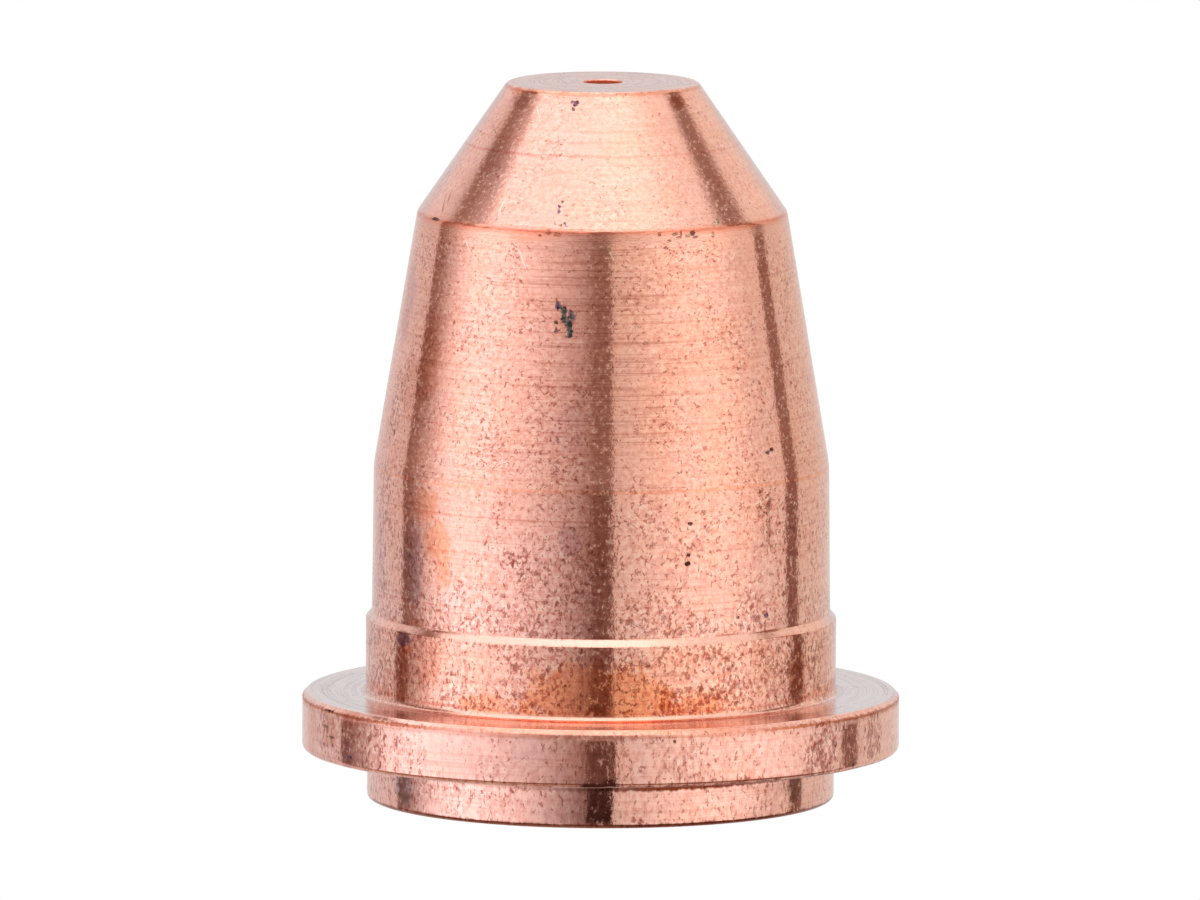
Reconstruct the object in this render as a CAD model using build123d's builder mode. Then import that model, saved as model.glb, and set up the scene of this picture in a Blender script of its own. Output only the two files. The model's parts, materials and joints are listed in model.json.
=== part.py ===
"""Plasma torch nozzle: the copper tip that squeezes an air plasma arc into a fine cutting jet.

It is one turned piece. From the rear face up it has a register that enters the torch head, a
clamping flange, a collar that centres the retaining cap, a barrel, a gentle shoulder taper
and a steep nose cone that ends in a flat tip face with the orifice. The inside is bored from the
rear: a seat for the gas ring, the electrode chamber, a converging cone and the orifice.

The origin is the centre of the rear face, and +Z runs along the bore to the tip.
"""

import os
from math import radians, tan

from build123d import *

# Outside: diameters, and lengths one after another from the rear face to the tip
register_diameter = 12.05
register_height = 1.27
flange_diameter = 15.4
flange_thickness = 1.5
collar_diameter = 12.13
collar_height = 2.1
barrel_foot_diameter = 11.82
barrel_top_diameter = 11.74
barrel_height = 3.8
shoulder_height = 6.55
nose_base_diameter = 9.53
nose_height = 3.35
tip_face_diameter = 4.92

# Inside: walls are measured in from the outside, the seat's depth from the rear face,
# and the orifice's length down from the tip face
register_wall = 1.25
seat_depth = 2.4
barrel_wall = 2.07
converging_half_angle = 45.0
orifice_diameter = 1.0
orifice_length = 2.5

# Outside edges: chamfers and tool radii
register_edge_radius = 0.12
flange_underside_radius = 0.14
flange_face_chamfer = 0.12
collar_foot_radius = 0.18
collar_chamfer = 0.18
shoulder_blend_radius = 2.5
nose_base_radius = 0.15
tip_edge_radius = 0.2

# Inside edges
mouth_chamfer = 0.25
seat_corner_radius = 0.1
ledge_chamfer = 0.15
chamber_blend_radius = 1.2
throat_radius = 0.25
orifice_chamfer = 0.04

# Heights above the rear face
flange_underside = register_height
flange_face = flange_underside + flange_thickness
collar_top = flange_face + collar_height
barrel_top = collar_top + barrel_height
shoulder_top = barrel_top + shoulder_height
tip_face = shoulder_top + nose_height
throat = tip_face - orifice_length

# Radii about the bore's axis
register_radius = register_diameter / 2
flange_radius = flange_diameter / 2
collar_radius = collar_diameter / 2
barrel_foot_radius = barrel_foot_diameter / 2
barrel_top_radius = barrel_top_diameter / 2
nose_base = nose_base_diameter / 2
tip_radius = tip_face_diameter / 2
seat_radius = register_radius - register_wall
chamber_radius = barrel_top_radius - barrel_wall
orifice_radius = orifice_diameter / 2

# The converging cone runs down from the throat until it meets the chamber's wall
converging_length = (chamber_radius - orifice_radius) / tan(radians(converging_half_angle))
chamber_top = throat - converging_length


def corner(section, radius, height):
    """The corner of a half section that lies at this radius and height."""
    return section.vertices().sort_by_distance((radius, height, 0))[0]


with BuildPart() as nozzle:
    # The outside, turned from bar
    with BuildSketch(Plane.XZ) as outside:
        with BuildLine():
            Polyline(
                (0, 0),
                (register_radius, 0),
                (register_radius, flange_underside),
                (flange_radius, flange_underside),
                (flange_radius, flange_face),
                (collar_radius, flange_face),
                (collar_radius, collar_top - collar_chamfer),
                (barrel_foot_radius, collar_top),
                (barrel_top_radius, barrel_top),
                (nose_base, shoulder_top),
                (tip_radius, tip_face),
                (0, tip_face),
                close=True,
            )
        make_face()
        fillet(corner(outside, register_radius, 0), register_edge_radius)
        fillet(corner(outside, flange_radius, flange_underside), flange_underside_radius)
        chamfer(corner(outside, flange_radius, flange_face), flange_face_chamfer)
        fillet(corner(outside, collar_radius, flange_face), collar_foot_radius)
        fillet(corner(outside, barrel_top_radius, barrel_top), shoulder_blend_radius)
        fillet(corner(outside, nose_base, shoulder_top), nose_base_radius)
        fillet(corner(outside, tip_radius, tip_face), tip_edge_radius)
    revolve(axis=Axis.Z)

    # The gas passage, bored from the rear, with the orifice drilled through to the tip face
    with BuildSketch(Plane.XZ) as passage:
        with BuildLine():
            Polyline(
                (0, 0),
                (seat_radius + mouth_chamfer, 0),
                (seat_radius, mouth_chamfer),
                (seat_radius, seat_depth),
                (chamber_radius, seat_depth),
                (chamber_radius, chamber_top),
                (orifice_radius, throat),
                (orifice_radius, tip_face - orifice_chamfer),
                (orifice_radius + orifice_chamfer, tip_face),
                (0, tip_face),
                close=True,
            )
        make_face()
        fillet(corner(passage, seat_radius, seat_depth), seat_corner_radius)
        chamfer(corner(passage, chamber_radius, seat_depth), ledge_chamfer)
        fillet(corner(passage, chamber_radius, chamber_top), chamber_blend_radius)
        fillet(corner(passage, orifice_radius, throat), throat_radius)
    revolve(axis=Axis.Z, mode=Mode.SUBTRACT)

nozzle.part.label = "nozzle"

os.makedirs("parts", exist_ok=True)
export_step(nozzle.part, "parts/nozzle.step")
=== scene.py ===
"""The plasma torch nozzle, dressed: one turned copper part on a pale studio floor.

Lengths are in millimetres, and angles about the axis in degrees from the side that faces the camera, positive
to its right. MM turns millimetres into the frame's metres.
"""

import json
from math import cos, pi, radians, sin

import bpy
import numpy as np
from mathutils import Matrix, Vector


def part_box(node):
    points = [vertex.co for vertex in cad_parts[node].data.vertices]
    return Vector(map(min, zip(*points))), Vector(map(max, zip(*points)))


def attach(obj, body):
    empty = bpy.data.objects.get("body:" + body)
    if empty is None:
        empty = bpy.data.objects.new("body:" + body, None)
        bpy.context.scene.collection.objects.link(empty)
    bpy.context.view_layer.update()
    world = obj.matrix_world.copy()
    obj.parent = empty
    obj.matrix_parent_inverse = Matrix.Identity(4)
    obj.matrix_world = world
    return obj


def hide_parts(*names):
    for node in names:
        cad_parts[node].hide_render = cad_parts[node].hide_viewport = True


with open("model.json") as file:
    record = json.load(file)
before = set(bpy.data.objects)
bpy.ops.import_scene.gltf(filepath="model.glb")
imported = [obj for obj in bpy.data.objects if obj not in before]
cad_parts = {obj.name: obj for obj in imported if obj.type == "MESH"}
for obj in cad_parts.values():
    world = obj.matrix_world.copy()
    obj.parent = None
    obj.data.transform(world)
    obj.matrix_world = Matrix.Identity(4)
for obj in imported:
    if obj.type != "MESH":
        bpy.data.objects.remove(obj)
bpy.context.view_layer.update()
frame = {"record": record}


# The nozzle: register, flange, collar, barrel, shoulder and nose cone, turned in one piece from copper bar.
# The gas passage is bored from the rear, and the orifice is drilled through to the tip face.
# It has been handled and stored: the copper is flecked with tarnish, scratched, and bruised along its edges.

MM = 0.001
mounts = {mount["name"]: mount for mount in frame["record"]["mounts"]}
high_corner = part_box("nozzle")[1]


def mount_radius(name):
    return mounts[name]["dims"]["r_mm"]


def mount_height(name):
    return mounts[name]["pos_m"][2] / MM


# What the frame gives: radii, and heights above the rear face
register_radius = mount_radius("head_register")
collar_radius = mount_radius("cap_collar")
seat_radius = mount_radius("gas_ring_seat")
chamber_radius = mount_radius("electrode_chamber")
orifice_radius = mount_radius("orifice")
flange_radius = high_corner.x / MM
flange_underside = mount_height("flange_underside")
flange_face = mount_height("flange_seat")
tip_face = high_corner.z / MM

# What it doesn't give
collar_height = 2.1
barrel_height = 3.8
nose_height = 3.35
barrel_foot_radius = 5.91
barrel_top_radius = 5.87
nose_base_radius = 4.765
tip_radius = 2.46
seat_depth = 2.4
orifice_length = 2.5

# Further heights above the rear face
collar_top = flange_face + collar_height
barrel_top = collar_top + barrel_height
shoulder_top = tip_face - nose_height
throat = tip_face - orifice_length
chamber_top = throat - (chamber_radius - orifice_radius)

# Chamfers, and the radius of an edge that has only been broken
face_chamfer = 0.12
collar_chamfer = 0.18
mouth_chamfer = 0.25
ledge_chamfer = 0.15
orifice_chamfer = 0.04
broken_edge = 0.03

# Each corner of the section, round its outline: radius, height and how far the corner is rounded
section_corners = np.array([
    (seat_radius + mouth_chamfer, 0, broken_edge),
    (register_radius, 0, 0.12),
    (register_radius, flange_underside, 0.03),
    (flange_radius, flange_underside, 0.14),
    (flange_radius, flange_face - face_chamfer, 0.05),
    (flange_radius - face_chamfer, flange_face, 0.05),
    (collar_radius, flange_face, 0.18),
    (collar_radius, collar_top - collar_chamfer, 0.04),
    (barrel_foot_radius, collar_top, 0.02),
    (barrel_top_radius, barrel_top, 2.5),
    (nose_base_radius, shoulder_top, 0.15),
    (tip_radius, tip_face, 0.2),
    (orifice_radius + orifice_chamfer, tip_face, 0.01),
    (orifice_radius, tip_face - orifice_chamfer, 0.01),
    (orifice_radius, throat, 0.25),
    (chamber_radius, chamber_top, 1.2),
    (chamber_radius, seat_depth + ledge_chamfer, broken_edge),
    (chamber_radius + ledge_chamfer, seat_depth, broken_edge),
    (seat_radius, seat_depth, 0.1),
    (seat_radius, mouth_chamfer, broken_edge),
])


def unit(vectors):
    return vectors / np.linalg.norm(vectors, axis=-1, keepdims=True)


def rounded_outline(corners, steps):
    """Points and outward normals round a closed outline whose corners are rounded.

    A corner's arc starts and ends where it touches the two straight runs. Its centre lies on the line that
    halves the corner, and its points are the centre plus an arm that turns evenly from one touch to the
    other. The normal is along the arm, and points away from the outline's inside, which is on its left.
    """
    point, bend = corners[:, :2], corners[:, 2:]
    to_last = unit(np.roll(point, 1, axis=0) - point)
    to_next = unit(np.roll(point, -1, axis=0) - point)
    between = np.arccos((to_last * to_next).sum(1, keepdims=True))
    centre = point + unit(to_last + to_next) * bend / np.sin(between / 2)
    reach = bend / np.tan(between / 2)
    first_arm = point + to_last * reach - centre
    last_arm = point + to_next * reach - centre
    share = np.linspace(0, 1, steps)[:, None, None]
    turn = pi - between
    arm = (np.sin((1 - share) * turn) * first_arm + np.sin(share * turn) * last_arm) / np.sin(turn)
    left_turn = to_next[:, 1:] * -to_last[:, :1] + to_next[:, :1] * to_last[:, 1:] > 0
    normal = np.where(left_turn, arm, -arm) / bend
    return (centre + arm).swapaxes(0, 1).reshape(-1, 2), normal.swapaxes(0, 1).reshape(-1, 2)


def with_more_rows(points, normals, extra, nearest):
    """The closed outline with further points, at these distances along it.

    Points and normals are read off along the outline, so an added point lies on its straight run. One that
    would come nearer than this to a point of the outline is left out.
    """
    closed_points = np.vstack([points, points[:1]])
    closed_normals = np.vstack([normals, normals[:1]])
    steps = np.linalg.norm(np.diff(closed_points, axis=0), axis=1)
    along = np.concatenate([[0], np.cumsum(steps)])
    far = np.abs(extra[:, None] - along[None]).min(1) > nearest
    where = np.sort(np.concatenate([along[:-1], extra[far]]))
    read = [np.interp(where, along, column) for column in (*closed_points.T, *closed_normals.T)]
    return np.stack(read[:2], 1), unit(np.stack(read[2:], 1)), where, along[-1]


# How many points each rounded corner has, and how many columns of faces go round the axis
arc_steps = 6
around = 280
arc_points, arc_normals = rounded_outline(section_corners, arc_steps)


def distance_to(radius, height):
    """How far along the outline its point nearest to this radius and height lies."""
    steps = np.linalg.norm(np.diff(arc_points, axis=0), axis=1)
    along_arcs = np.concatenate([[0], np.cumsum(steps)])
    return along_arcs[np.argmin(np.hypot(*(arc_points - (radius, height)).T))]


ridge_along = distance_to(nose_base_radius, shoulder_top)
underside_edge_along = distance_to(flange_radius, flange_underside)
face_edge_along = distance_to(flange_radius, flange_face)
tip_bore_along = distance_to(orifice_radius, tip_face)

# Further points: all over the outside, close together at the edges that are bruised, and along the bore
extra_rows = np.concatenate([
    np.linspace(0, tip_bore_along, 130),
    np.linspace(ridge_along - 0.3, ridge_along + 0.3, 23),
    np.linspace(underside_edge_along - 0.15, underside_edge_along + 0.15, 9),
    np.linspace(face_edge_along - 0.2, face_edge_along + 0.2, 9),
    np.linspace(tip_bore_along, tip_bore_along + 22, 30),
])
row_gap = 0.012
outline, outline_normal, along, total_length = with_more_rows(arc_points, arc_normals, extra_rows, row_gap)
radius, height = outline[:, :1], outline[:, 1:]
angle = np.linspace(-pi, pi, around, endpoint=False)[None]


def dent(degrees, distance, half_width, half_length, depth):
    """A dent of this depth round one place: it fades as a bell curve of the distance, along and across."""
    across = (np.mod(angle - radians(degrees) + pi, 2 * pi) - pi) * radius / half_width
    down = (along[:, None] - distance) / half_length
    return -depth * np.exp(-(across**2 + down**2))


# The two knocks that show most, on the flange's lower edge in front and on the ridge to the left
relief = dent(1.9, underside_edge_along, 0.14, 0.09, 0.03) + dent(-64.0, ridge_along, 0.18, 0.06, 0.02)

# Smaller bruises all round the nose's base and the flange's edges: how many on each, and how deep
rng = np.random.default_rng(41)
bruised_edges = ((ridge_along, 70, 0.012), (underside_edge_along, 40, 0.012), (face_edge_along, 40, 0.01))
for edge_along, count, deepest in bruised_edges:
    for _ in range(count):
        degrees, offset, half_width, half_length, depth = rng.random(5)
        relief = relief + dent(
            360 * degrees,
            edge_along + 0.06 * (offset - 0.5),
            0.08 + 0.4 * half_width**2,
            0.03 + 0.04 * half_length,
            deepest * (0.2 + depth),
        )

out = outline_normal[:, :1] + 0 * angle
up = outline_normal[:, 1:] + 0 * angle
turned_radius = radius + relief * out
turned_height = height + relief * up
vertices = np.stack(
    [turned_radius * np.sin(angle), -turned_radius * np.cos(angle), turned_height],
    axis=-1,
) * MM

# Where the relief slopes, the normal leans back from it, both along the outline and round the axis
slope_along = np.gradient(relief, along, axis=0)
slope_around = np.gradient(relief, angle[0], axis=1) / radius
lean_out = out + slope_along * up
lean_up = up - slope_along * out
normals = unit(np.stack(
    [
        lean_out * np.sin(angle) - slope_around * np.cos(angle),
        -lean_out * np.cos(angle) - slope_around * np.sin(angle),
        lean_up,
    ],
    axis=-1,
))

rows = len(outline)
row = np.arange(rows)[:, None]
column = np.arange(around)[None]
next_row = (row + 1) % rows
next_column = (column + 1) % around
faces = np.stack(
    [
        row * around + column,
        row * around + next_column,
        next_row * around + next_column,
        next_row * around + column,
    ],
    axis=-1,
).reshape(-1, 4)

nozzle_mesh = bpy.data.meshes.new("turned_nozzle")
nozzle_mesh.from_pydata(vertices.reshape(-1, 3), [], faces)
nozzle_mesh.shade_smooth()
nozzle_mesh.normals_split_custom_set_from_vertices(normals.reshape(-1, 3))

# The map for baking: angle across, and distance along the outline upwards, with more of it for the outside
outside_share = 0.68
end_along = np.append(along[1:], total_length)
low_v, high_v = (
    np.interp(distance, [0, tip_bore_along, total_length], [0, outside_share, 1])[:, None] + 0 * angle
    for distance in (along, end_along)
)
left_u = column / around + 0 * row
right_u = (column + 1) / around + 0 * row
map_corners = np.stack([left_u, low_v, right_u, low_v, right_u, high_v, left_u, high_v], axis=-1)
nozzle_mesh.uv_layers.new(name="OFBake").data.foreach_set("uv", map_corners.ravel())

nozzle = bpy.data.objects.new("turned_nozzle", nozzle_mesh)
bpy.context.scene.collection.objects.link(nozzle)


def put(tree, kind, inputs=(), **settings):
    """Adds a shader node. inputs maps its sockets to numbers, colours or other nodes' outputs."""
    node = tree.nodes.new("ShaderNode" + kind)
    for name, value in settings.items():
        setattr(node, name, value)
    for socket, value in dict(inputs).items():
        if isinstance(value, bpy.types.NodeSocket):
            tree.links.new(value, node.inputs[socket])
        else:
            node.inputs[socket].default_value = value
    return node


def math(tree, operation, *values):
    return put(tree, "Math", enumerate(values), operation=operation).outputs[0]


def vector_math(tree, operation, *values):
    return put(tree, "VectorMath", enumerate(values), operation=operation).outputs[0]


def ramp(tree, value, low, high, bottom=0.0, top=1.0, kind="SMOOTHSTEP"):
    """Turns from bottom to top while value goes from low to high, smoothly unless kind says otherwise."""
    sockets = {"Value": value, "From Min": low, "From Max": high, "To Min": bottom, "To Max": top}
    return put(tree, "MapRange", sockets, interpolation_type=kind).outputs[0]


def mixed(tree, share, first, second, blend="MIX"):
    """The first colour, covered with a share of the second or blended with it in another way."""
    sockets = {0: share, 6: first, 7: second}
    return put(tree, "Mix", sockets, data_type="RGBA", blend_type=blend, clamp_result=True).outputs[2]


def noise(tree, place, size, detail=2.0, roughness=0.5, distortion=0.0):
    """Cloudy noise about 0.5, whose blotches are about this size."""
    scale = math(tree, "DIVIDE", 1.0, size) if isinstance(size, bpy.types.NodeSocket) else 1 / size
    sockets = {
        "Vector": place,
        "Scale": scale,
        "Detail": detail,
        "Roughness": roughness,
        "Distortion": distortion,
    }
    return put(tree, "TexNoise", sockets).outputs["Fac"]


def new_group(name, inputs, output):
    """An empty shader node group of one output, with its named sockets ready to be linked."""
    group = bpy.data.node_groups.new(name, "ShaderNodeTree")
    for label, kind in inputs.items():
        group.interface.new_socket(label, in_out="INPUT", socket_type="NodeSocket" + kind)
    group.interface.new_socket(output, in_out="OUTPUT", socket_type="NodeSocketFloat")
    return group, group.nodes.new("NodeGroupInput").outputs, group.nodes.new("NodeGroupOutput").inputs[output]


# Flecks of tarnish: dark oxide wherever a fine noise rises above a level that falls as Amount grows
flecks, given, mask = new_group(
    "tarnish_flecks", {"Place": "Vector", "Size": "Float", "Amount": "Float"}, "Mask"
)
grain = noise(flecks, given["Place"], given["Size"], 2.0, 0.6, 0.5)
level = math(flecks, "MULTIPLY_ADD", given["Amount"], -0.24, 0.70)
flecks.links.new(ramp(flecks, grain, level, math(flecks, "ADD", level, 0.10)), mask)

# Turning lines: a noise that hardly changes round the axis, so it leaves rings on every turned face
lines, given, mask = new_group("turning_lines", {"Place": "Vector", "Pitch": "Float"}, "Height")
x, y, z = put(lines, "SeparateXYZ", {0: given["Place"]}).outputs
about = math(lines, "ARCTAN2", x, math(lines, "MULTIPLY", y, -1.0))
flat_place = vector_math(lines, "MULTIPLY", given["Place"], (1, 1, 0))
reach = put(lines, "VectorMath", {0: flat_place}, operation="LENGTH").outputs["Value"]
ring_place = put(
    lines,
    "CombineXYZ",
    {
        "X": math(lines, "MULTIPLY", about, 1.3),
        "Y": math(lines, "DIVIDE", reach, given["Pitch"]),
        "Z": math(lines, "DIVIDE", z, given["Pitch"]),
    },
).outputs[0]
lines.links.new(noise(lines, ring_place, 1.0, 3.0, 0.65), mask)

# A spot: full at its centre and gone at its reach, with an edge that Ragged pushes in and out
spot, given, mask = new_group(
    "spot", {"Place": "Vector", "Centre": "Vector", "Reach": "Vector", "Ragged": "Float"}, "Mask"
)
off_centre = vector_math(spot, "SUBTRACT", given["Place"], given["Centre"])
off_centre = vector_math(spot, "DIVIDE", off_centre, given["Reach"])
away = put(spot, "VectorMath", {0: off_centre}, operation="LENGTH").outputs["Value"]
spot.links.new(ramp(spot, math(spot, "ADD", away, given["Ragged"]), 1.0, 0.55), mask)

# A scratch: a streak round the straight line between its two ends, thinner towards the last one
scratch, given, mask = new_group(
    "scratch", {"Place": "Vector", "From": "Vector", "To": "Vector", "Width": "Float"}, "Mask"
)
run = vector_math(scratch, "SUBTRACT", given["To"], given["From"])
arm = vector_math(scratch, "SUBTRACT", given["Place"], given["From"])
ahead = put(scratch, "VectorMath", {0: arm, 1: run}, operation="DOT_PRODUCT").outputs["Value"]
whole = put(scratch, "VectorMath", {0: run, 1: run}, operation="DOT_PRODUCT").outputs["Value"]
share = put(scratch, "Math", {0: ahead, 1: whole}, operation="DIVIDE", use_clamp=True).outputs[0]
foot = put(scratch, "VectorMath", {0: run, "Scale": share}, operation="SCALE").outputs[0]
gap = put(scratch, "VectorMath", {0: arm, 1: foot}, operation="DISTANCE").outputs["Value"]
half_streak = math(scratch, "MULTIPLY", given["Width"], math(scratch, "SUBTRACT", 1.15, share))
scratch.links.new(ramp(scratch, gap, half_streak, math(scratch, "MULTIPLY", half_streak, 0.4)), mask)

# The outside's walls from the foot up, to find the point at any angle and height
on_wall = (along < tip_bore_along) & (outline_normal[:, 0] > 0.5)
wall_order = np.argsort(outline[on_wall, 1], kind="stable")
wall_heights = outline[on_wall][wall_order, 1]
wall_radii = outline[on_wall][wall_order, 0]


def on_outside(degrees, height_mm):
    """The point of the outside at this angle and height."""
    reach = np.interp(height_mm, wall_heights, wall_radii)
    return (reach * sin(radians(degrees)), -reach * cos(radians(degrees)), height_mm)


# The copper's material reads each point's place on the nozzle, in millimetres
copper = bpy.data.materials.new("turned_copper")
copper.use_nodes = True
tree = copper.node_tree
shader = tree.nodes["Principled BSDF"]
metres = put(tree, "TexCoord").outputs["Object"]
place = put(tree, "VectorMath", {0: metres, "Scale": 1 / MM}, operation="SCALE").outputs[0]
x, y, height_mm = put(tree, "SeparateXYZ", {0: place}).outputs
to_sides = math(tree, "ABSOLUTE", x)

# The faces that look up, which have stronger tool rings and less grain than the walls
facing = put(tree, "SeparateXYZ", {0: put(tree, "NewGeometry").outputs["Normal"]}).outputs["Z"]
flat_face = ramp(tree, facing, 0.85, 0.97)
on_wall_share = ramp(tree, flat_face, 0.0, 1.0, 1.0, 0.3)
on_flange_face = math(tree, "MULTIPLY", flat_face, ramp(tree, height_mm, 4.0, 3.0))

# For each height: how heavily the nozzle is tarnished, how long its grains are drawn out upwards, and how
# much of its copper is orange rather than pink
heights = (
    (0.0, 0.52, 1.7, 0.15),
    (flange_underside, 0.52, 1.7, 0.15),
    (flange_face - 0.12, 0.46, 1.7, 0.15),
    (flange_face, 0.30, 1.7, 0.3),
    (flange_face + 0.02, 0.74, 1.3, 0.7),
    (collar_top - 0.18, 0.74, 1.3, 0.7),
    (collar_top - 0.14, 0.40, 1.3, 0.4),
    (collar_top, 0.40, 1.3, 0.4),
    (collar_top + 0.04, 0.74, 1.3, 0.3),
    (collar_top + 1.2, 0.60, 1.3, 0.4),
    (barrel_top - 1.0, 0.56, 1.3, 0.6),
    (barrel_top + 1.0, 0.50, 1.2, 0.7),
    (shoulder_top - 0.3, 0.46, 1.1, 0.7),
    (shoulder_top + 0.05, 0.30, 0.9, 0.45),
    (tip_face, 0.30, 0.9, 0.45),
)
tarnish_column, grain_column, orange_column = 1, 2, 3


def by_height(column, scale=1.0):
    """The value that this column of heights gives, read off by height.

    A colour ramp holds values from 0 to 1, so larger ones are divided by the scale, and come out so.
    """
    curve = put(tree, "ValToRGB", {0: math(tree, "DIVIDE", height_mm, tip_face)})
    stops = curve.color_ramp.elements
    for row_now in heights[1:-1]:
        stops.new(row_now[0] / tip_face).color = (row_now[column] / scale,) * 3 + (1,)
    stops[0].color = (heights[0][column] / scale,) * 3 + (1,)
    stops[-1].color = (heights[-1][column] / scale,) * 3 + (1,)
    return curve.outputs[0]


# Noise: clouds of tarnish, grain and fine grain, and two that make the marks' edges ragged
longest_grain = 2.0
flatten = math(tree, "DIVIDE", 1 / longest_grain, by_height(grain_column, longest_grain))
drawn_place = vector_math(
    tree, "MULTIPLY", place, put(tree, "CombineXYZ", {"X": 1.0, "Y": 1.0, "Z": flatten}).outputs[0]
)
clouds = math(tree, "SUBTRACT", noise(tree, place, 1.3, 3.0, 0.6), 0.5)
grain = math(tree, "SUBTRACT", noise(tree, drawn_place, 0.12, 2.0, 0.55), 0.5)
fine_grain = math(tree, "SUBTRACT", noise(tree, drawn_place, 0.05, 2.0, 0.6), 0.5)
broad_rag = math(tree, "MULTIPLY_ADD", noise(tree, place, 0.4, 3.0, 0.6), 1.3, -0.65)
fine_rag = math(tree, "MULTIPLY_ADD", grain, 1.6, fine_grain)

# How far into the metal a mark reaches, so that it doesn't come out on the far side
mark_depth = 0.6


def spot_mask(degrees, height_mm, half_width, half_height, rag):
    """A spot of this size on the outside, with an edge made ragged by rag."""
    sockets = {
        "Place": place,
        "Centre": on_outside(degrees, height_mm),
        "Reach": (half_width, mark_depth, half_height),
        "Ragged": rag,
    }
    return put(tree, "Group", sockets, node_tree=spot).outputs["Mask"]


def fleck_mask(size, amount):
    sockets = {"Place": drawn_place, "Size": size, "Amount": amount}
    return put(tree, "Group", sockets, node_tree=flecks).outputs["Mask"]


def ring_height(pitch):
    return put(tree, "Group", {"Place": place, "Pitch": pitch}, node_tree=lines).outputs["Height"]


# Patches that are more, or less, tarnished: angle, height, half width, half height and how much
tarnish = by_height(tarnish_column)
patches = (
    (-8, 9.8, 1.6, 1.2, 0.13),
    (-12, 6.6, 2.0, 1.4, 0.20),
    (-37, 7.6, 1.0, 1.6, -0.25),
    (-33, 3.9, 1.8, 0.9, -0.15),
    (30, 3.9, 2.5, 1.0, 0.06),
    (24, 3.2, 2.0, 0.6, 0.30),
    (30, 5.8, 2.2, 0.8, -0.15),
    (36, 14.7, 0.9, 0.5, 0.20),
    (45, 8.2, 0.3, 0.45, 0.40),
    (46.7, 7.6, 0.07, 0.9, 0.50),
    (28, 12.0, 1.4, 1.6, -0.10),
    (-30, 2.1, 2.4, 0.9, -0.20),
    (-44, 1.8, 0.5, 0.9, 0.15),
    (-50, 2.0, 1.2, 0.9, 0.25),
    (-67, 2.1, 0.8, 0.8, 0.35),
    (48, 2.0, 2.0, 0.9, 0.38),
    (66, 2.1, 2.2, 0.9, 0.40),
    (-50, 0.7, 1.0, 0.6, 0.20),
    (66, 3.8, 1.6, 0.9, 0.30),
    (-72, 6.9, 0.9, 2.0, 0.12),
    (-70, 10.6, 0.9, 1.6, 0.20),
)
for degrees, height_now, half_width, half_height, more in patches:
    patch = spot_mask(degrees, height_now, half_width, half_height, broad_rag)
    tarnish = math(tree, "MULTIPLY_ADD", patch, more, tarnish)
clouded = math(tree, "MULTIPLY_ADD", clouds, 1.0, tarnish)

# The copper itself, a little pinker in some places and more orange in others. It is painted paler on the
# flange's upward face: painted light
pink_copper = (0.92, 0.51, 0.42, 1)
orange_copper = (0.95, 0.46, 0.325, 1)
painted_light_copper = (0.97, 0.76, 0.71, 1)
orange_share = math(tree, "MULTIPLY_ADD", noise(tree, place, 0.9, 3.0, 0.6), 1.4, -0.7)
orange_share = math(tree, "ADD", by_height(orange_column), orange_share)
colour = mixed(tree, orange_share, pink_copper, orange_copper)
colour = mixed(tree, math(tree, "MULTIPLY", on_flange_face, 0.3), colour, painted_light_copper)

# Rings left by the tool: strong on the flat faces, clear in the middle of the shoulder, and faint elsewhere
fine_rings = ring_height(0.05)
broad_rings = ring_height(0.16)
ring_tint = (0.62, 0.46, 0.43, 1)
lined = math(tree, "MULTIPLY", ramp(tree, to_sides, 2.6, 0.8), ramp(tree, height_mm, 8.5, 10.5, 0.0, 0.4))
lined = math(tree, "ADD", lined, 0.36)
nose_rings = 0.22
wall_rings = ramp(tree, height_mm, shoulder_top - 0.1, shoulder_top + 0.3, lined, nose_rings)
ring_share = ramp(tree, flat_face, 0.0, 1.0, wall_rings, 0.9)
fine_share = math(tree, "MULTIPLY", ramp(tree, fine_rings, 0.48, 0.70), ring_share)
broad_share = math(tree, "MULTIPLY", ramp(tree, broad_rings, 0.50, 0.72, 0.0, 0.67), ring_share)
colour = mixed(tree, fine_share, colour, ring_tint, "MULTIPLY")
colour = mixed(tree, broad_share, colour, ring_tint, "MULTIPLY")

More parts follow.
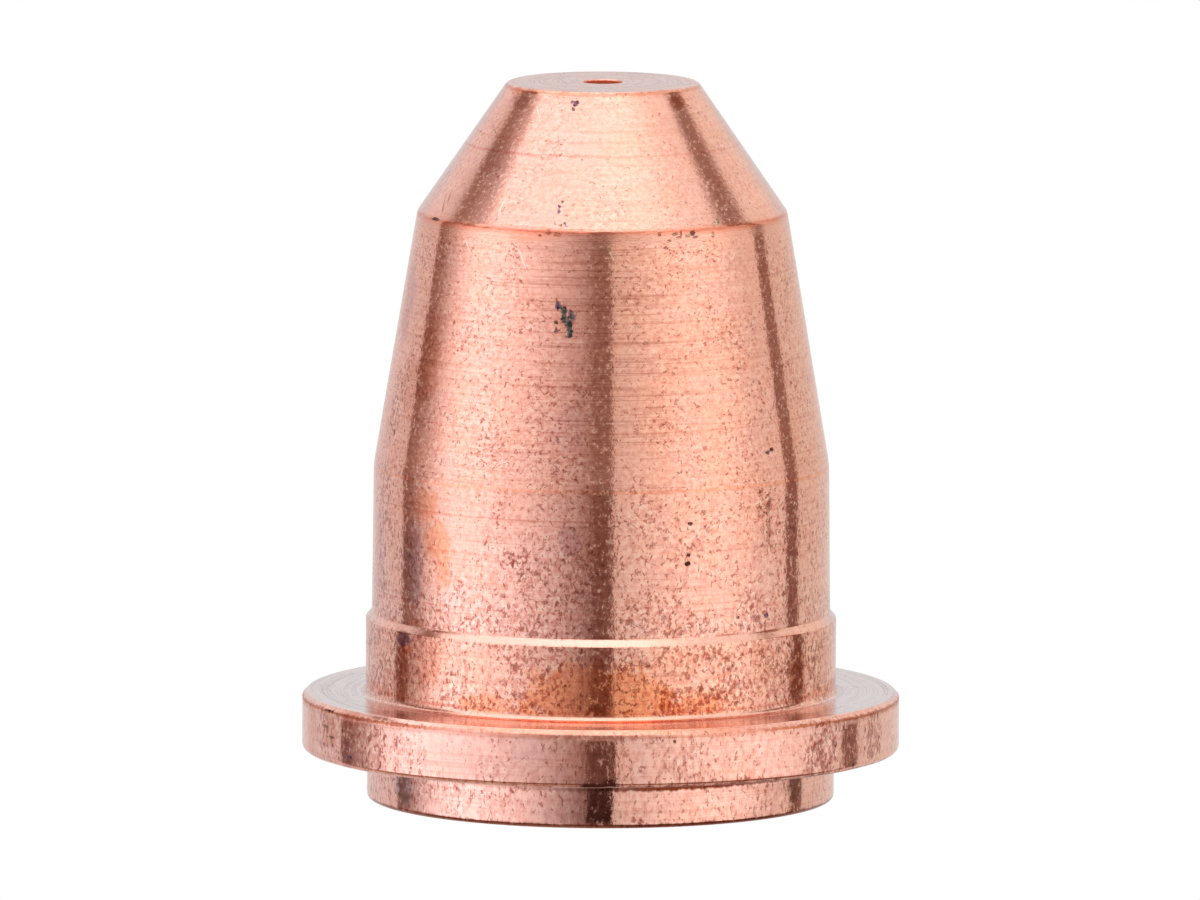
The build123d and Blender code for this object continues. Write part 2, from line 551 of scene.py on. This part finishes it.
# Spots and pits: angle, height, half width, half height and their own colour
blue_grey = (0.125, 0.12, 0.105, 1)
purple = (0.30, 0.14, 0.17, 1)
dark_brown = (0.17, 0.08, 0.065, 1)
red_brown = (0.42, 0.19, 0.14, 1)
tan = (0.47, 0.28, 0.20, 1)
grey = (0.34, 0.21, 0.20, 1)
dark_purple = (0.125, 0.08, 0.10, 1)
grey_violet = (0.14, 0.105, 0.11, 1)
mauve = (0.34, 0.20, 0.21, 1)
spots = (
    (-13.3, 13.48, 0.04, 0.08, red_brown),
    (-8.3, 13.08, 0.11, 0.16, grey_violet),
    (-9.3, 13.18, 0.11, 0.11, mauve),
    (-12.7, 13.35, 0.13, 0.13, dark_purple),
    (-11.1, 13.21, 0.125, 0.16, blue_grey),
    (-10.8, 13.08, 0.125, 0.17, blue_grey),
    (-9.9, 12.95, 0.13, 0.17, blue_grey),
    (-9.3, 12.82, 0.13, 0.17, blue_grey),
    (-9.2, 12.68, 0.12, 0.15, blue_grey),
    (-13.0, 12.94, 0.07, 0.07, dark_brown),
    (-12.9, 12.74, 0.10, 0.10, red_brown),
    (-17.0, 18.31, 0.07, 0.06, purple),
    (-14.3, 18.31, 0.07, 0.06, purple),
    (-15.4, 18.26, 0.07, 0.06, purple),
    (-15.8, 18.15, 0.05, 0.06, grey),
    (-14.5, 15.82, 0.05, 0.06, mauve),
    (-14.5, 15.72, 0.07, 0.08, mauve),
    (-13.8, 15.93, 0.04, 0.04, tan),
    (-15.2, 15.41, 0.04, 0.05, grey),
    (-13.5, 15.38, 0.09, 0.04, red_brown),
    (-12.0, 15.41, 0.04, 0.07, grey),
    (-11.2, 15.35, 0.07, 0.04, grey),
    (-19.5, 15.11, 0.05, 0.05, red_brown),
    (-16.8, 15.19, 0.12, 0.06, red_brown),
    (-14.0, 15.14, 0.13, 0.07, red_brown),
    (22.8, 15.13, 0.09, 0.07, tan),
    (24.9, 15.14, 0.04, 0.10, red_brown),
    (24.1, 15.05, 0.09, 0.06, red_brown),
    (27.0, 15.08, 0.10, 0.06, tan),
    (28.9, 15.14, 0.09, 0.09, dark_brown),
    (29.7, 15.04, 0.10, 0.05, red_brown),
    (17.8, 15.15, 0.06, 0.07, red_brown),
    (21.0, 14.98, 0.06, 0.06, red_brown),
    (19.5, 14.80, 0.07, 0.05, red_brown),
    (36.2, 15.06, 0.05, 0.11, tan),
    (38.5, 15.36, 0.13, 0.09, tan),
    (-64.5, 15.23, 0.14, 0.05, dark_brown),
    (22.8, 7.80, 0.08, 0.07, dark_brown),
    (49.6, 9.52, 0.06, 0.06, dark_brown),
    (48.1, 9.45, 0.09, 0.06, grey),
    (22.0, 6.78, 0.08, 0.07, dark_brown),
    (22.3, 7.00, 0.05, 0.06, dark_brown),
    (-64.6, 2.65, 0.16, 0.04, dark_brown),
    (-59.2, 2.23, 0.05, 0.08, dark_brown),
    (-56.5, 1.60, 0.08, 0.07, dark_brown),
    (-49.2, 2.25, 0.06, 0.05, tan),
    (-66.8, 2.23, 0.10, 0.06, tan),
    (-64.0, 1.98, 0.12, 0.05, tan),
    (45.8, 5.27, 0.08, 0.08, grey),
    (36.3, 5.30, 0.06, 0.06, red_brown),
    (-39.0, 1.55, 0.05, 0.05, red_brown),
    (11.8, 2.49, 0.05, 0.05, red_brown),
    (14.2, 2.46, 0.06, 0.05, red_brown),
    (57.0, 1.42, 0.06, 0.06, dark_brown),
)
spot_rag = math(tree, "MULTIPLY", fine_rag, 0.6)
spotted = 0.0
for degrees, height_now, half_width, half_height, tint in spots:
    patch = spot_mask(degrees, height_now, half_width, half_height, spot_rag)
    colour = mixed(tree, patch, colour, tint)
    spotted = math(tree, "MAXIMUM", patch, spotted)

# The spots are mottled dark and light
mottle_sockets = {0: (1.0, 1.03, 1.05), "Scale": ramp(tree, fine_rag, -0.3, 0.3, 0.5, 1.8)}
mottle = put(tree, "VectorMath", mottle_sockets, operation="SCALE").outputs[0]
colour = mixed(tree, spotted, colour, mottle, "MULTIPLY")

# Light and dark grain, stronger where the tarnish is heavy
strength = math(tree, "MULTIPLY", grain, math(tree, "MULTIPLY", clouded, 2.6))
strength = math(tree, "MULTIPLY_ADD", fine_grain, 0.35, strength)
strength = math(tree, "MULTIPLY", strength, on_wall_share)
grain_tint = put(tree, "VectorMath", {0: (0.55, 1.0, 1.05), "Scale": strength}, operation="SCALE").outputs[0]
colour = mixed(tree, 1.0, colour, vector_math(tree, "ADD", grain_tint, (1, 1, 1)), "MULTIPLY")

# Flecks of oxide, the small ones brown and the large ones more purple
brown_oxide = (0.52, 0.36, 0.33, 1)
purple_oxide = (0.52, 0.42, 0.45, 1)
small_flecks = fleck_mask(0.10, clouded)
large_flecks = fleck_mask(0.14, math(tree, "SUBTRACT", clouded, 0.15))
colour = mixed(tree, math(tree, "MULTIPLY", small_flecks, 0.9), colour, brown_oxide, "MULTIPLY")
colour = mixed(tree, math(tree, "MULTIPLY", large_flecks, 0.7), colour, purple_oxide, "MULTIPLY")

# Soft stains: angle, height, half width, half height, the colour that multiplies the copper's, and strength
orange_stain = (1.0, 0.66, 0.40, 1)
purple_stain = (0.66, 0.60, 0.78, 1)
brown_stain = (0.80, 0.58, 0.48, 1)
painted_band_shade = (0.76, 0.55, 0.44, 1)
rust_stain = (0.74, 0.50, 0.37, 1)
on_face = flange_face + 0.012
stains = (
    (-50, 8.0, 0.55, 0.6, orange_stain, 0.5),
    (-45.5, 7.1, 0.5, 0.7, orange_stain, 0.6),
    (-43.5, 6.3, 0.25, 0.6, orange_stain, 0.5),
    (-55, 6.5, 0.40, 1.6, (0.62, 0.68, 0.85, 1), 0.6),
    (-8, 7.4, 0.35, 0.5, purple_stain, 0.5),
    (-9, 10.2, 0.6, 0.8, purple_stain, 0.2),
    (-56, 11.8, 0.5, 1.6, brown_stain, 0.7),
    (-64, 11.0, 0.45, 1.2, brown_stain, 0.3),
    (-49.5, 16.9, 0.50, 1.2, (0.84, 0.76, 0.76, 1), 0.8),
    (-57.5, 4.50, 0.35, 0.22, (0.50, 0.48, 0.72, 1), 1.0),
    (-55, 4.28, 0.22, 0.16, (0.85, 0.46, 0.30, 1), 0.8),
    (-53, 5.00, 0.50, 0.12, (0.75, 0.48, 0.36, 1), 0.8),
    (-76, 13.0, 0.5, 1.4, purple_stain, 0.5),
    (-76, 6.5, 0.7, 1.8, purple_stain, 0.4),
    (0, 3.3, 3.4, 1.1, orange_stain, 0.8),
    (24, 3.2, 2.0, 0.5, orange_stain, 0.4),
    (-30, 3.1, 1.6, 0.35, orange_stain, 0.6),
    (-48, 4.1, 0.7, 1.0, brown_stain, 0.6),
    (-56, 2.55, 1.2, 0.25, brown_stain, 0.7),
    (-65, 2.1, 0.7, 0.5, brown_stain, 0.7),
    (-75, 2.0, 1.0, 0.9, brown_stain, 0.5),
    # These two, and the two on the register below, lie in the dark bands that mirror the gaps between the
    # tent's panels, and darken and tint them there: painted shade
    (-57.5, 3.6, 0.35, 0.9, painted_band_shade, 1.0),
    (56, 3.7, 0.35, 1.0, painted_band_shade, 1.0),
    (-57, 4.69, 0.34, 0.05, (0.45, 0.34, 0.28, 1), 0.9),
    (-41, 4.84, 0.60, 0.035, (0.40, 0.21, 0.16, 1), 1.0),
    (46, 4.86, 0.55, 0.035, (0.42, 0.22, 0.16, 1), 1.0),
    (33, 4.88, 0.35, 0.03, (0.60, 0.38, 0.30, 1), 0.8),
    (52, 4.69, 0.7, 0.04, (0.82, 0.58, 0.46, 1), 0.8),
    (-22, 15.10, 1.3, 0.14, (1.0, 0.84, 0.74, 1), 0.8),
    # Painted shade: tints of the dark bands on the register, to either side
    (-57, 0.7, 0.4, 0.6, (0.62, 0.76, 0.90, 1), 0.9),
    (56, 0.7, 0.3, 0.6, (0.60, 0.66, 0.60, 1), 0.9),
    (70, 3.8, 0.9, 0.9, brown_stain, 0.4),
    (-10.5, 13.0, 0.35, 0.45, brown_stain, 0.5),
    (-44.5, 18.48, 0.14, 0.06, brown_stain, 1.0),
    (-50, on_face, 0.9, 0.10, rust_stain, 0.9),
    (-42, on_face, 0.9, 0.10, rust_stain, 0.9),
    (-35, on_face, 0.9, 0.10, rust_stain, 0.9),
    (-41, flange_face + 0.06, 1.0, 0.06, (0.50, 0.32, 0.22, 1), 0.9),
    (40, on_face, 0.9, 0.10, brown_stain, 0.9),
    (48, on_face, 0.9, 0.10, brown_stain, 0.9),
    (0, 2.0, 1.0, 0.9, (1.0, 0.88, 0.80, 1), 0.8),
    # Not a stain: this one lightens the flange's face in front, a painted light
    (0, on_face, 3.0, 0.12, (1.0, 1.12, 1.10, 1), 0.8),
    (25, 3.1, 1.8, 0.35, (0.88, 0.62, 0.48, 1), 0.7),
    (-51, 18.22, 0.32, 0.22, (0.74, 0.62, 0.60, 1), 0.8),
    (45.5, 18.26, 0.24, 0.22, (0.70, 0.52, 0.44, 1), 1.0),
    (-60, 18.45, 0.5, 0.10, (0.95, 0.72, 0.58, 1), 0.8),
    (-57.5, 1.7, 0.30, 0.5, purple_stain, 0.6),
)
for degrees, height_now, half_width, half_height, tint, strength in stains:
    patch = spot_mask(degrees, height_now, half_width, half_height, broad_rag)
    colour = mixed(tree, math(tree, "MULTIPLY", patch, strength), colour, tint, "MULTIPLY")

# Scratches: angle and height of both ends. The bright ones are fresh copper, and the dark and faint ones are
# old and oxidised
scratch_width = 0.03
bright_scratches = (
    (-38.0, 18.15, -33.0, 17.86),
    (-48.75, 16.79, -49.25, 17.13),
    (-48.5, 16.42, -42.25, 16.62),
    (-36.0, 15.65, -35.5, 16.0),
    (0.75, 14.93, 3.5, 14.51),
    (1.8, 14.85, 4.2, 14.40),
    (-26.0, 14.70, -22.75, 14.15),
    (0.25, 8.83, 1.25, 8.48),
    (1.5, 8.66, 3.0, 8.19),
    (-55.25, 8.73, -52.0, 8.46),
    (53.5, 12.63, 58.5, 12.02),
    (-46.25, 14.82, -44.0, 14.54),
    (-44.0, 15.35, -41.0, 15.12),
)
dark_scratches = ((-63.0, 15.45, -68.0, 15.86), (-63.25, 15.70, -65.75, 16.0))
faint_scratches = ((4.0, 13.80, 9.3, 13.05), (9.3, 13.05, 9.7, 12.60), (9.7, 12.60, 6.0, 12.10))
for ends, tint, strength in (
    (bright_scratches, (1.0, 0.74, 0.56, 1), 0.8),
    (dark_scratches, (0.22, 0.10, 0.10, 1), 0.8),
    (faint_scratches, (0.50, 0.27, 0.21, 1), 0.5),
):
    for first_angle, first_height, last_angle, last_height in ends:
        sockets = {
            "Place": place,
            "From": on_outside(first_angle, first_height),
            "To": on_outside(last_angle, last_height),
            "Width": scratch_width,
        }
        streak = put(tree, "Group", sockets, node_tree=scratch).outputs["Mask"]
        colour = mixed(tree, math(tree, "MULTIPLY", streak, strength), colour, tint)

# Lines that run round the nozzle: bruised edges, a dark line at the barrel's foot, painted shade under the
# flange and at the register's foot, and deeper marks of the tool. Height, half height, the colour that
# multiplies the copper's, and strength on the left and on the right
orange_line = (1.0, 0.85, 0.76, 1)
bright_line = (1.0, 1.13, 1.13, 1)
faint_line = (0.91, 0.74, 0.72, 1)
painted_shade = (0.22, 0.08, 0.04, 1)
round_lines = (
    (tip_face - 0.07, 0.06, (0.86, 0.60, 0.48, 1), 0.8, 0.6),
    (17.62, 0.03, faint_line, 0.1, 0.4),
    (17.36, 0.03, faint_line, 0.8, 0.0),
    (17.02, 0.04, faint_line, 1.0, 0.6),
    (shoulder_top - 0.02, 0.13, (0.96, 0.75, 0.68, 1), 0.9, 0.9),
    (shoulder_top - 0.01, 0.045, (0.86, 0.62, 0.52, 1), 0.7, 0.7),
    (13.33, 0.03, faint_line, 0.4, 0.0),
    (12.79, 0.03, faint_line, 0.5, 0.0),
    (12.65, 0.02, faint_line, 0.5, 0.0),
    (12.54, 0.03, faint_line, 0.0, 0.5),
    (10.15, 0.03, faint_line, 0.6, 0.3),
    (barrel_top - 0.02, 0.06, orange_line, 1.0, 1.0),
    (7.89, 0.03, faint_line, 0.8, 0.0),
    (7.80, 0.03, faint_line, 0.0, 0.35),
    (6.94, 0.03, faint_line, 0.6, 0.15),
    (5.91, 0.03, bright_line, 0.6, 0.5),
    (5.60, 0.03, bright_line, 0.9, 0.0),
    (5.53, 0.03, faint_line, 0.7, 0.4),
    (collar_top + 0.01, 0.04, (0.60, 0.40, 0.34, 1), 0.3, 0.3),
    # Painted shade: dark lines just under the flange and at the register's foot, where shade falls
    (flange_underside, 0.08, painted_shade, 0.25, 0.85),
    (flange_underside - 0.22, 0.12, painted_shade, 0.3, 1.0),
    (0.04, 0.10, painted_shade, 0.8, 0.9),
)
to_right = ramp(tree, x, -2.0, 2.0)
ragged_height = math(tree, "MULTIPLY_ADD", broad_rag, 0.06, height_mm)
thinner = math(tree, "MULTIPLY", math(tree, "ADD", clouds, fine_rag), 0.05)


def edge_mask(line_height, half_height):
    """A ragged line round the nozzle at this height: full in its middle, and thin where the tarnish is."""
    off = math(tree, "ABSOLUTE", math(tree, "SUBTRACT", ragged_height, line_height))
    return ramp(tree, math(tree, "ADD", off, thinner), half_height, half_height * 0.4)


for line_height, half_height, tint, left_strength, right_strength in round_lines:
    strength = ramp(tree, to_right, 0.0, 1.0, left_strength, right_strength)
    line = math(tree, "MULTIPLY", edge_mask(line_height, half_height), strength)
    colour = mixed(tree, line, colour, tint, "MULTIPLY")

# The collar's two corners are painted bright in clean copper, and more so in front: a painted highlight
highlight_copper = (0.96, 0.55, 0.43, 1)
painted_highlight_share = ramp(tree, to_sides, 3.0, 4.6, 0.72, 0.15)
for line_height, half_height in ((collar_top - 0.09, 0.11), (flange_face + 0.07, 0.08)):
    line = math(tree, "MULTIPLY", edge_mask(line_height, half_height), painted_highlight_share)
    colour = mixed(tree, line, colour, highlight_copper)

# The flange's upper edge is orange in front, and has a thin line of rust to both sides
flange_lines = (
    (flange_face - 0.06, 0.09, (1.0, 0.81, 0.72, 1), 1.0, 0.1),
    (flange_face - 0.18, 0.06, (0.90, 0.66, 0.54, 1), 0.6, 0.0),
    (flange_face - 0.14, 0.055, (0.68, 0.42, 0.29, 1), 0.0, 1.0),
)
for line_height, half_height, tint, front_strength, side_strength in flange_lines:
    strength = ramp(tree, to_sides, 3.0, 5.0, front_strength, side_strength)
    line = math(tree, "MULTIPLY", edge_mask(line_height, half_height), strength)
    colour = mixed(tree, line, colour, tint, "MULTIPLY")

# The jet has roughened and browned the orifice's wall
burnt = (0.85, 0.62, 0.50, 1)
across = vector_math(tree, "MULTIPLY", place, (1, 1, 0))
from_axis = put(tree, "VectorMath", {0: across}, operation="LENGTH").outputs["Value"]
in_orifice = ramp(tree, from_axis, orifice_radius + 0.03, orifice_radius + 0.01)
colour = mixed(tree, in_orifice, colour, burnt, "MULTIPLY")

tree.links.new(colour, shader.inputs["Base Color"])
shader.inputs["Metallic"].default_value = 1.0

# The polish: duller in the flecks, the spots, the grain's peaks and the orifice, on the flat faces, and along
# the flange's upper edge
dull = math(tree, "MULTIPLY_ADD", math(tree, "ADD", small_flecks, large_flecks), 0.10, 0.06)
rough_grain = math(tree, "MULTIPLY", ramp(tree, fine_rag, 0.04, 0.40), on_wall_share)
dull = math(tree, "MULTIPLY_ADD", rough_grain, 0.25, dull)
dull = math(tree, "MULTIPLY_ADD", flat_face, 0.16, dull)
dull = math(tree, "MULTIPLY_ADD", on_flange_face, -0.10, dull)
dull = math(tree, "MULTIPLY_ADD", edge_mask(flange_face - 0.17, 0.14), 0.25, dull)
dull = math(tree, "MULTIPLY_ADD", spotted, 0.35, dull)
dull = math(tree, "MULTIPLY_ADD", in_orifice, 0.75, dull)
tree.links.new(dull, shader.inputs["Roughness"])

# Fine relief in micrometres: the grain and the rings
ring_relief = math(tree, "MULTIPLY_ADD", broad_rings, 1.5, fine_rings)
ring_relief = math(tree, "MULTIPLY", ring_relief, ramp(tree, flat_face, 0.0, 1.0, 1.0, 3.5))
grain_relief = math(tree, "MULTIPLY", on_wall_share, 2.2)
relief_now = math(tree, "MULTIPLY_ADD", grain, grain_relief, ring_relief)
micrometre = 0.000001
bump = put(tree, "Bump", {"Height": relief_now, "Distance": micrometre, "Strength": 1.0}).outputs[0]
tree.links.new(bump, shader.inputs["Normal"])

nozzle_mesh.materials.append(copper)
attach(nozzle, "root")
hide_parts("nozzle")


# The studio floor: a wide sheet of white card that the nozzle stands on, a hair under its rear face.
# It is lit so evenly that no shadow shows on it, and the metal doesn't mirror it.

half_floor = 3000.0 * MM
floor_height = -0.01 * MM
floor_mesh = bpy.data.meshes.new("studio_floor")
floor_corners = [
    (side * half_floor, end * half_floor, floor_height) for side, end in ((-1, -1), (1, -1), (1, 1), (-1, 1))
]
floor_mesh.from_pydata(floor_corners, [], [(0, 1, 2, 3)])
floor = bpy.data.objects.new("studio_floor", floor_mesh)
bpy.context.scene.collection.objects.link(floor)
card = bpy.data.materials.new("white_card")
card.use_nodes = True
card.node_tree.nodes.clear()
white = put(card.node_tree, "Emission", {"Color": (1, 1, 1, 1), "Strength": 1.0}).outputs[0]
put(card.node_tree, "OutputMaterial", {"Surface": white})
floor_mesh.materials.append(card)
floor.visible_glossy = False
floor.visible_shadow = False


# The light: a tent of white panels round the nozzle, left, right and overhead, and duller sheets behind it.
# The dark gaps between the panels are what gives the copper its brown bands.

studio = bpy.data.worlds.new("light_tent")
bpy.context.scene.world = studio
studio.use_nodes = True
tree = studio.node_tree
tree.nodes.clear()
direction = put(tree, "TexCoord").outputs["Generated"]
x, y, z = put(tree, "SeparateXYZ", {0: direction}).outputs

# Each direction's place in degrees: to the right of the camera's side, and above the horizon
degrees_per_radian = 180 / pi
to_front = math(tree, "MULTIPLY", y, -1.0)
to_side = math(tree, "MULTIPLY", math(tree, "ARCTAN2", x, to_front), degrees_per_radian)
to_left = math(tree, "MULTIPLY", to_side, -1.0)
rise = math(tree, "MULTIPLY", math(tree, "ARCSINE", z), degrees_per_radian)


def edge(value, middle, softness):
    """Turns from 0 to 1 as value passes the middle, over this many degrees."""
    past = math(tree, "DIVIDE", math(tree, "SUBTRACT", value, middle), softness)
    return ramp(tree, past, -0.5, 0.5)


def less(value):
    return math(tree, "SUBTRACT", 1.0, value)


def lit(colour, brightness):
    return put(tree, "VectorMath", {0: colour, "Scale": brightness}, operation="SCALE").outputs[0]


def between(share, first, second):
    """Goes from the first number to the second as the share goes from 0 to 1."""
    return math(tree, "MULTIPLY_ADD", share, math(tree, "SUBTRACT", second, first), first)


# Where the panels and the sheets behind begin and end. Higher up, the edges lean in and are blurred
from_middle = math(tree, "ABSOLUTE", to_side)
high_blur = ramp(tree, rise, 10, 40, 1.8, 12.0)
right_end = edge(to_side, ramp(tree, rise, 12, 42, 107.4, 97.4), high_blur)
right_panel = math(tree, "MULTIPLY", edge(to_side, 5.9, 3.0), less(right_end))
low_left_end = ramp(tree, to_left, 77.5, 118.5)
high_left_end = math(
    tree, "ADD", ramp(tree, to_left, 86, 101, 0.0, 0.78), ramp(tree, to_left, 99, 119, 0.0, 0.22)
)
left_end = between(ramp(tree, rise, 18, 38), low_left_end, high_left_end)
left_start = math(tree, "POWER", ramp(tree, to_left, 3.5, 66, kind="LINEAR"), 0.78)
left_panel = math(tree, "MULTIPLY", left_start, less(left_end))
right_backdrop = edge(to_side, 118.2, high_blur)
left_backdrop = edge(to_left, ramp(tree, rise, 5, 30, 120.2, 125.0), high_blur)

# How bright each is. The roof is brighter overhead, and shaded to the right
right_shade = ramp(tree, to_side, 62, 98, 0.0, 0.4)
right_brightness = math(tree, "SUBTRACT", ramp(tree, to_side, 0, 58, 0.76, 1.24), right_shade)
left_brightness = 1.47
backdrop_brightness = ramp(tree, rise, 4, 20, 1.0, 1.2)
left_shade = math(tree, "MULTIPLY", ramp(tree, rise, 5, 25, 0.0, 0.24), ramp(tree, to_left, 146, 120))
roof_shade = math(tree, "MULTIPLY", ramp(tree, to_side, 30, 95, 0.0, 0.5), ramp(tree, from_middle, 178, 140))
roof_brightness = math(tree, "SUBTRACT", ramp(tree, rise, 60, 78, 1.54, 1.78), roof_shade)

# Their colours. The room that shows in the gaps is brown, and darker low down and in the middle
to_gap = ramp(tree, from_middle, 10, 100)
low_gap = mixed(tree, to_gap, (0.21, 0.13, 0.11, 1), (0.28, 0.175, 0.15, 1))
high_gap = mixed(tree, to_gap, (0.32, 0.235, 0.21, 1), (0.37, 0.27, 0.24, 1))
light = mixed(tree, ramp(tree, rise, -8, 14), low_gap, high_gap)
behind = ramp(tree, from_middle, 140, 175)
far_sheet = mixed(tree, ramp(tree, rise, -1, 4), (0.79, 0.74, 0.72, 1), (0.70, 0.81, 0.86, 1))
right_sheet = mixed(tree, behind, (0.78, 0.77, 0.72, 1), far_sheet)
left_sheet = mixed(tree, behind, (0.75, 0.75, 0.78, 1), far_sheet)
roof_tint = mixed(tree, ramp(tree, to_side, -60, 60), (0.92, 0.95, 1.0, 1), (1.0, 1.0, 0.98, 1))
roof_tint = mixed(tree, ramp(tree, from_middle, 130, 178), roof_tint, (0.96, 0.98, 0.99, 1))


def covered(share, colour, brightness):
    """The light so far, with a share of it covered by something of this colour and brightness."""
    sockets = {0: share, 6: light, 7: lit(colour, brightness)}
    return put(tree, "Mix", sockets, data_type="RGBA").outputs[2]


light = covered(right_panel, (1.02, 1.0, 0.97), right_brightness)
light = covered(left_panel, (0.97, 1.0, 1.08), left_brightness)
light = covered(right_backdrop, right_sheet, backdrop_brightness)
light = covered(left_backdrop, left_sheet, math(tree, "SUBTRACT", backdrop_brightness, left_shade))
under_roof = math(tree, "MULTIPLY", less(right_end), less(left_end))
low_roof = math(tree, "MULTIPLY", ramp(tree, rise, 33, 47), under_roof)
roof = math(tree, "MAXIMUM", low_roof, ramp(tree, rise, 40, 47))
light = covered(roof, roof_tint, roof_brightness)

# Below the horizon: brown in front, and paler straight down and behind
below = mixed(tree, ramp(tree, to_left, 10, 60), (0.24, 0.12, 0.08, 1), (0.36, 0.21, 0.16, 1))
below = mixed(tree, ramp(tree, rise, -38, -54), below, (0.58, 0.45, 0.39, 1))
below = mixed(tree, ramp(tree, from_middle, 95, 135), below, (0.80, 0.74, 0.71, 1))
light = covered(ramp(tree, rise, -14, -28), below, 1.0)

# The camera sees plain white, and only the metal mirrors the tent
sky = put(tree, "Background", {"Color": light, "Strength": 1.0}).outputs[0]
plain = put(tree, "Background", {"Color": (1, 1, 1, 1), "Strength": 1.0}).outputs[0]
seen = put(tree, "LightPath").outputs["Is Camera Ray"]
both = put(tree, "MixShader", {0: seen, 1: sky, 2: plain}).outputs[0]
put(tree, "OutputWorld", {"Surface": both})


# The dark strip: a dark sheet on the floor in front of the nozzle, hidden from the camera, that stands in for
# shade.
# The metal mirrors it, so the middle band is darker low on the nozzle than higher up: a painted dark
# reflection.

strip_near = 6.0
strip_far = 29.0
strip_height = 0.01 * MM
strip_corners = [(-2.7, -strip_near), (-13.0, -strip_far), (2.64, -strip_far), (0.31, -strip_near)]
strip_mesh = bpy.data.meshes.new("dark_strip")
strip_points = [(x_mm * MM, y_mm * MM, strip_height) for x_mm, y_mm in strip_corners]
strip_mesh.from_pydata(strip_points, [], [(0, 1, 2, 3)])
strip = bpy.data.objects.new("dark_strip", strip_mesh)
bpy.context.scene.collection.objects.link(strip)
shade_sheet_material = bpy.data.materials.new("brown_paper")
shade_sheet_material.use_nodes = True
tree = shade_sheet_material.node_tree
shade_sheet_shader = tree.nodes["Principled BSDF"]
shade_sheet_shader.inputs["Base Color"].default_value = (0.055, 0.03, 0.025, 1)
shade_sheet_shader.inputs["Roughness"].default_value = 1.0
shade_sheet_shader.inputs["Specular IOR Level"].default_value = 0.0

# It is solid near the nozzle, thinnest halfway along and half as strong beyond, and fades at both ends. Its
# left edge is frayed
x, y, z = put(tree, "SeparateXYZ", {0: put(tree, "TexCoord").outputs["Object"]}).outputs
aside = math(tree, "DIVIDE", x, math(tree, "MULTIPLY", y, -1.0))
near = ramp(tree, y, -17.5 * MM, -15.5 * MM)
frayed = math(tree, "MULTIPLY", ramp(tree, aside, -0.45, -0.08, 0.0, 0.38, "LINEAR"), near)
far = math(tree, "MULTIPLY", ramp(tree, y, -29 * MM, -25.5 * MM), ramp(tree, y, -19 * MM, -21 * MM, 0.2, 0.5))
solid = math(tree, "MULTIPLY", ramp(tree, aside, -0.095, -0.065), math(tree, "MAXIMUM", near, far))
past_register = ramp(tree, y, -6.2 * MM, -7.6 * MM)
whole_strip = math(tree, "MULTIPLY", math(tree, "MAXIMUM", frayed, solid), past_register)
tree.links.new(whole_strip, shade_sheet_shader.inputs["Alpha"])
strip_mesh.materials.append(shade_sheet_material)
strip.visible_camera = False
strip.visible_diffuse = False
strip.visible_shadow = False


# The camera: a long lens a little above the nozzle, as the photograph shows it.
# Its height, tilt and lens were fitted to the edges of the nozzle's steps.

camera_rise = radians(7.206)
camera_roll = radians(0.2)
camera_distance = 651.2 * MM
look_at = Vector((-0.040, 0, 9.014)) * MM
camera = bpy.data.objects.new("camera", bpy.data.cameras.new("camera"))
bpy.context.scene.collection.objects.link(camera)
camera.data.sensor_width = 36
camera.data.lens = 757.85
camera.data.clip_start = 10 * MM
camera.data.clip_end = 100000 * MM
turn = Matrix.Rotation(pi / 2 - camera_rise, 4, "X") @ Matrix.Rotation(camera_roll, 4, "Z")
stand = look_at + Vector((0, -cos(camera_rise), sin(camera_rise))) * camera_distance
camera.matrix_world = Matrix.Translation(stand) @ turn
bpy.context.scene.camera = camera

# Colours are shown as they are, without a film's look
view = bpy.context.scene.view_settings
view.view_transform = "Standard"
view.look = "None"
